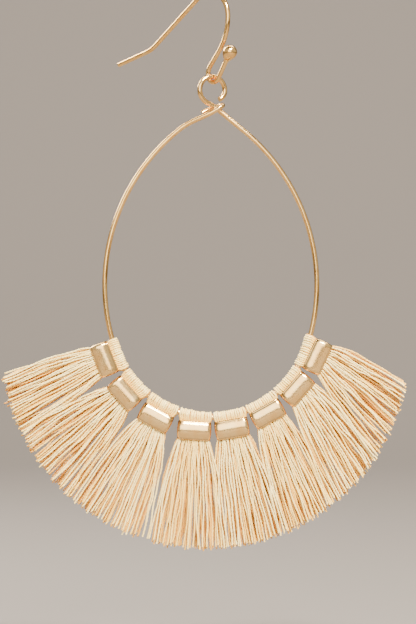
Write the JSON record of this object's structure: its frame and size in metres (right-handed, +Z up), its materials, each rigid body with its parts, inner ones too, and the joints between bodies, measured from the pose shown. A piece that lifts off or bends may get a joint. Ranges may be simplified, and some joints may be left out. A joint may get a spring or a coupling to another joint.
{
  "type": "tassel earring",
  "caption": "Drop earring: a bent ear wire with a ball end carries a teardrop wire hoop, with thread tassels in metal caps fanned round its lower half.",
  "frame": {"origin": "underside of the ear wire's arch, where it rests in the pierced ear", "axes": "+Z up, the hoop hangs in the XZ plane and its front faces -Y, +X is to the right seen from the front"},
  "size_m": [0.0608, 0.0186, 0.0847],
  "materials": {
    "gold_wire": "polished light gold plating",
    "gold_cap": "satin light gold plating, brighter towards its upper edge",
    "thread": "glossy two-ply cream thread with warm shadows"
  },
  "bodies": {
    "hook": {"ear_hook": "gold_wire"},
    "drop": {"hoop": "gold_wire", "cap_1": "gold_cap", "cap_2": "gold_cap", "cap_3": "gold_cap", "cap_4": "gold_cap", "cap_5": "gold_cap", "cap_6": "gold_cap", "cap_7": "gold_cap", "cap_8": "gold_cap", "tassel_1": "thread", "tassel_2": "thread", "tassel_3": "thread", "tassel_4": "thread", "tassel_5": "thread", "tassel_6": "thread", "tassel_7": "thread", "tassel_8": "thread"}
  },
  "joints": [
    {"name": "drop_swing", "type": "hinge", "parent": "hook", "child": "drop", "pos_m": [0.00035, -0.00055, -0.0124], "axis": [0.9063, 0.4226, 0], "range_deg": [-60, 60]}
  ]
}
